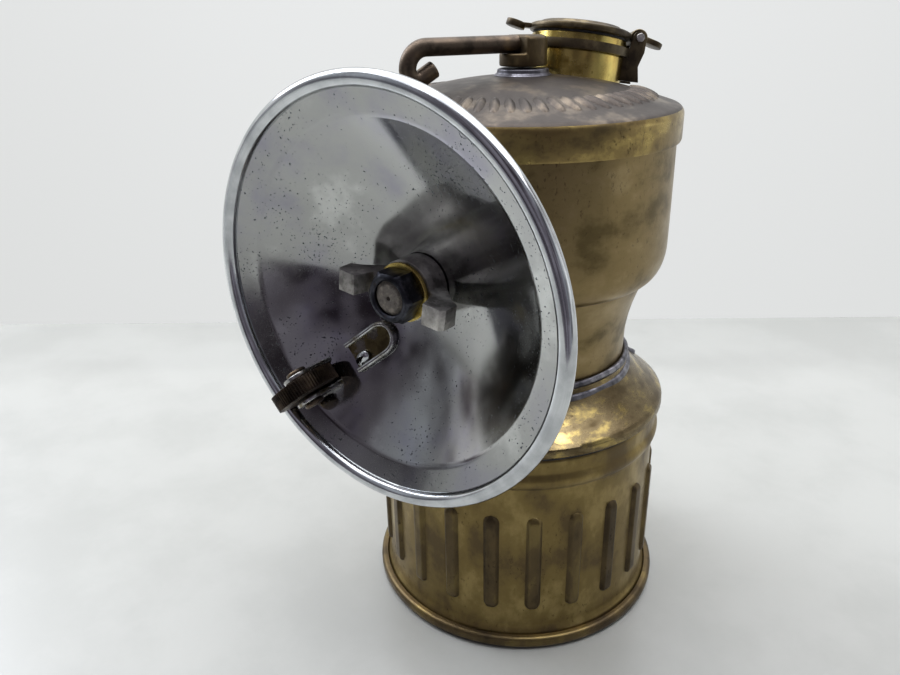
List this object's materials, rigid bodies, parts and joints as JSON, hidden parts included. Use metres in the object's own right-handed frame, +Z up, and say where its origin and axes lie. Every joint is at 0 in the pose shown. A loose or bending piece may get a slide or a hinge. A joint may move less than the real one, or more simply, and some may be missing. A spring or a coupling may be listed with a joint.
{
  "type": "carbide lamp",
  "caption": "Miner's cap lamp: brass water tank over a screw-on carbide base, round polished reflector with burner and flint striker.",
  "frame": {"origin": "Centre of the flat foot, on the lamp's vertical axis.", "axes": "+Z up along the lamp's axis; -Y is the way the reflector faces; +X is to the right as seen from in front."},
  "size_m": [0.0636, 0.0783, 0.1056],
  "materials": {
    "aged_brass": "spun sheet brass with brown and olive tarnish",
    "bright_brass": "sheet brass, worn bright",
    "brown_brass": "sheet brass darkened to a dull brown",
    "solder": "soft solder, dull grey",
    "nickel": "nickel-plated, polished and worn",
    "steel": "plain steel, handled and greyed",
    "dark_iron": "blackened iron",
    "lava_ceramic": "fired steatite",
    "rubber": "black rubber",
    "felt": "grey wool felt"
  },
  "bodies": {
    "lamp_body": {"tank_body": "aged_brass", "tank_floor": "aged_brass", "top_cover": "brown_brass", "lower_collar": "bright_brass", "thread_ring": "aged_brass", "solder_bands": "solder", "drip_tube": "bright_brass", "valve_gland": "solder", "filler_neck": "bright_brass", "hinge_bracket": "aged_brass", "hinge_pin": "steel", "burner_tube": "bright_brass", "burner_collar": "solder", "reflector_washer": "bright_brass", "lock_ring": "bright_brass", "tip_holder": "dark_iron", "burner_tip": "lava_ceramic", "felt_filter": "felt", "felt_plate": "bright_brass", "filter_clip": "steel", "cap_hook": "aged_brass", "hook_plate": "aged_brass", "cap_brace": "aged_brass"},
    "water_valve": {"valve_stem": "steel", "valve_head": "aged_brass", "water_lever": "brown_brass"},
    "filler_cap": {"filler_lid": "brown_brass", "lid_gasket": "rubber"},
    "reflector_head": {"reflector": "nickel", "spark_trough": "nickel", "striker_bracket": "nickel", "striker_axle": "dark_iron", "flint_tube": "nickel", "flint": "dark_iron", "flint_spring": "steel", "flint_cap": "bright_brass"},
    "spark_wheel": {"striker_wheel": "dark_iron"},
    "burner_nut": {"wing_nut": "steel"},
    "base_seal": {"base_gasket": "rubber"},
    "carbide_cup": {"carbide_base": "aged_brass", "base_bottom": "brown_brass"}
  },
  "joints": [
    {"name": "lever_turn", "type": "hinge", "parent": "lamp_body", "child": "water_valve", "pos_m": [0, 0, 0.1], "axis": [0, 0, 1], "range_deg": [-75, 135]},
    {"name": "lid_hinge", "type": "hinge", "parent": "lamp_body", "child": "filler_cap", "pos_m": [0.01078, 0.02008, 0.10158], "axis": [-0.5901, 0.7973, -0.1269], "range_deg": [0, 75]},
    {"name": "reflector_turn", "type": "hinge", "parent": "lamp_body", "child": "reflector_head", "pos_m": [0, -0.028, 0.0688], "axis": [0, -1, 0], "range_deg": [-70, 6]},
    {"name": "wheel_spin", "type": "hinge", "parent": "reflector_head", "child": "spark_wheel", "pos_m": [-0.01566, -0.04, 0.05141], "axis": [0.6561, 0, -0.7547], "continuous": true},
    {"name": "nut_turn", "type": "hinge", "parent": "lamp_body", "child": "burner_nut", "pos_m": [0, -0.03, 0.0688], "axis": [0, -1, 0], "continuous": true},
    {"name": "base_drop", "type": "slide", "parent": "lamp_body", "child": "base_seal", "axis": [0, 0, -1], "range_m": [0, 0.0061]},
    {"name": "base_turn", "type": "hinge", "parent": "base_seal", "child": "carbide_cup", "pos_m": [0, 0, 0.0389], "axis": [0, 0, -1], "range_deg": [0, 1080]}
  ],
  "couplings": [
    {"joint": "base_drop", "follows": "base_turn", "m_per_rad": 0.00031831}
  ]
}
